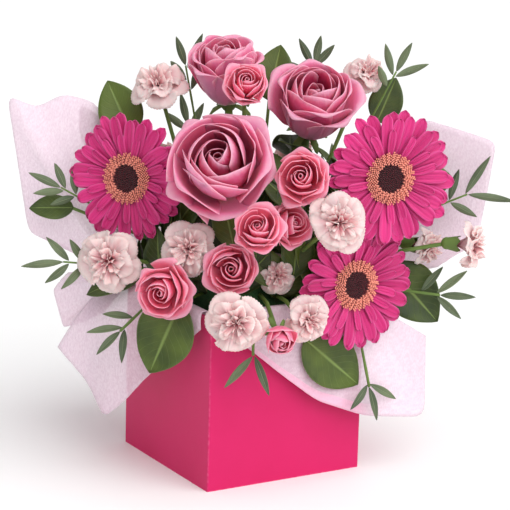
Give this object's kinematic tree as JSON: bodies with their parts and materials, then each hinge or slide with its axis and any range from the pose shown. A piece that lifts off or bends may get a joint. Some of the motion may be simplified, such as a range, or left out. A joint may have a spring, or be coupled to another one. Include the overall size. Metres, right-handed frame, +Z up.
{
  "type": "flower box",
  "caption": "Cube card box with tissue sheets round a foam-filled liner of gerberas, roses, carnations and mixed greenery.",
  "frame": {"origin": "centre of the carton's underside, on the surface it stands on", "axes": "+Z up; the carton's walls face +X, -X, +Y and -Y. The front wall is -Y and the left one -X, and the flowers face the edge between them, 30.5 degrees round from -Y towards -X."},
  "size_m": [0.3666, 0.2739, 0.3431],
  "materials": {
    "carton_pink": "satin",
    "tissue": "matte",
    "liner": "gloss",
    "foam": "matte",
    "gerbera_petal": "satin",
    "gerbera_eye": "matte",
    "rose_petal": "satin",
    "spray_rose_petal": "satin",
    "carnation_petal": "satin",
    "stem_green": "satin",
    "salal_leaf": "satin",
    "eucalyptus_leaf": "satin"
  },
  "bodies": {
    "box": {"box_walls": "carton_pink", "base_panel": "carton_pink", "dust_flaps": "carton_pink", "tissue_back": "tissue", "tissue_front_flap": "tissue", "tissue_left_flap": "tissue", "tissue_left_middle": "tissue", "tissue_left_tall": "tissue", "tissue_right_tall": "tissue"},
    "arrangement": {"carnation_back_left": "carnation_petal", "carnation_back_right": "carnation_petal", "carnation_centre": "carnation_petal", "carnation_far_right": "carnation_petal", "carnation_front": "carnation_petal", "carnation_front_right": "carnation_petal", "carnation_inner": "carnation_petal", "carnation_middle": "carnation_petal", "carnation_right": "carnation_petal", "carnation_top_left": "carnation_petal", "carnation_top_right": "carnation_petal", "eucalyptus_back": "eucalyptus_leaf", "eucalyptus_front": "eucalyptus_leaf", "eucalyptus_left": "eucalyptus_leaf", "eucalyptus_right": "eucalyptus_leaf", "eucalyptus_top": "eucalyptus_leaf", "filler_stems_back": "stem_green", "filler_stems_left": "stem_green", "filler_stems_right": "stem_green", "foam_brick": "foam", "gerbera_front": "gerbera_petal", "gerbera_front_eye": "gerbera_eye", "gerbera_front_stem": "stem_green", "liner_tray": "liner", "salal_back": "salal_leaf", "salal_front": "salal_leaf", "salal_left": "salal_leaf", "salal_right": "salal_leaf", "salal_stalks": "stem_green", "spray_rose_back": "spray_rose_petal", "spray_rose_bud": "spray_rose_petal", "spray_rose_centre": "spray_rose_petal", "spray_rose_left": "spray_rose_petal", "spray_rose_low_left": "spray_rose_petal", "spray_rose_low_right": "spray_rose_petal", "spray_rose_middle": "spray_rose_petal", "spray_rose_top": "spray_rose_petal"},
    "gerbera_left_bloom": {"gerbera_left": "gerbera_petal", "gerbera_left_eye": "gerbera_eye", "gerbera_left_stem": "stem_green"},
    "gerbera_right_bloom": {"gerbera_right": "gerbera_petal", "gerbera_right_eye": "gerbera_eye", "gerbera_right_stem": "stem_green"},
    "rose_front_bloom": {"rose_front": "rose_petal", "rose_front_stem": "stem_green"},
    "rose_high_bloom": {"rose_high": "rose_petal", "rose_high_stem": "stem_green"},
    "rose_right_bloom": {"rose_right": "rose_petal", "rose_right_stem": "stem_green"},
    "carnation_left_bloom": {"carnation_left": "carnation_petal", "carnation_left_stem": "stem_green"}
  },
  "joints": [
    {"name": "arrangement_lift", "type": "slide", "parent": "box", "child": "arrangement", "axis": [0, 0, 1], "range_m": [0, 0.15]},
    {"name": "gerbera_left_pull", "type": "slide", "parent": "arrangement", "child": "gerbera_left_bloom", "axis": [-0.5599, 0.1984, 0.8045], "range_m": [0, 0.034]},
    {"name": "gerbera_right_pull", "type": "slide", "parent": "arrangement", "child": "gerbera_right_bloom", "axis": [0.4189, -0.5105, 0.7509], "range_m": [0, 0.034]},
    {"name": "rose_front_pull", "type": "slide", "parent": "arrangement", "child": "rose_front_bloom", "axis": [-0.2374, -0.198, 0.951], "range_m": [0, 0.034]},
    {"name": "rose_high_pull", "type": "slide", "parent": "arrangement", "child": "rose_high_bloom", "axis": [-0.018, 0.1132, 0.9934], "range_m": [0, 0.034]},
    {"name": "rose_right_pull", "type": "slide", "parent": "arrangement", "child": "rose_right_bloom", "axis": [0.2182, -0.068, 0.9735], "range_m": [0, 0.034]},
    {"name": "carnation_left_pull", "type": "slide", "parent": "arrangement", "child": "carnation_left_bloom", "axis": [-0.9725, 0.0975, 0.2117], "range_m": [0, 0.022]}
  ]
}
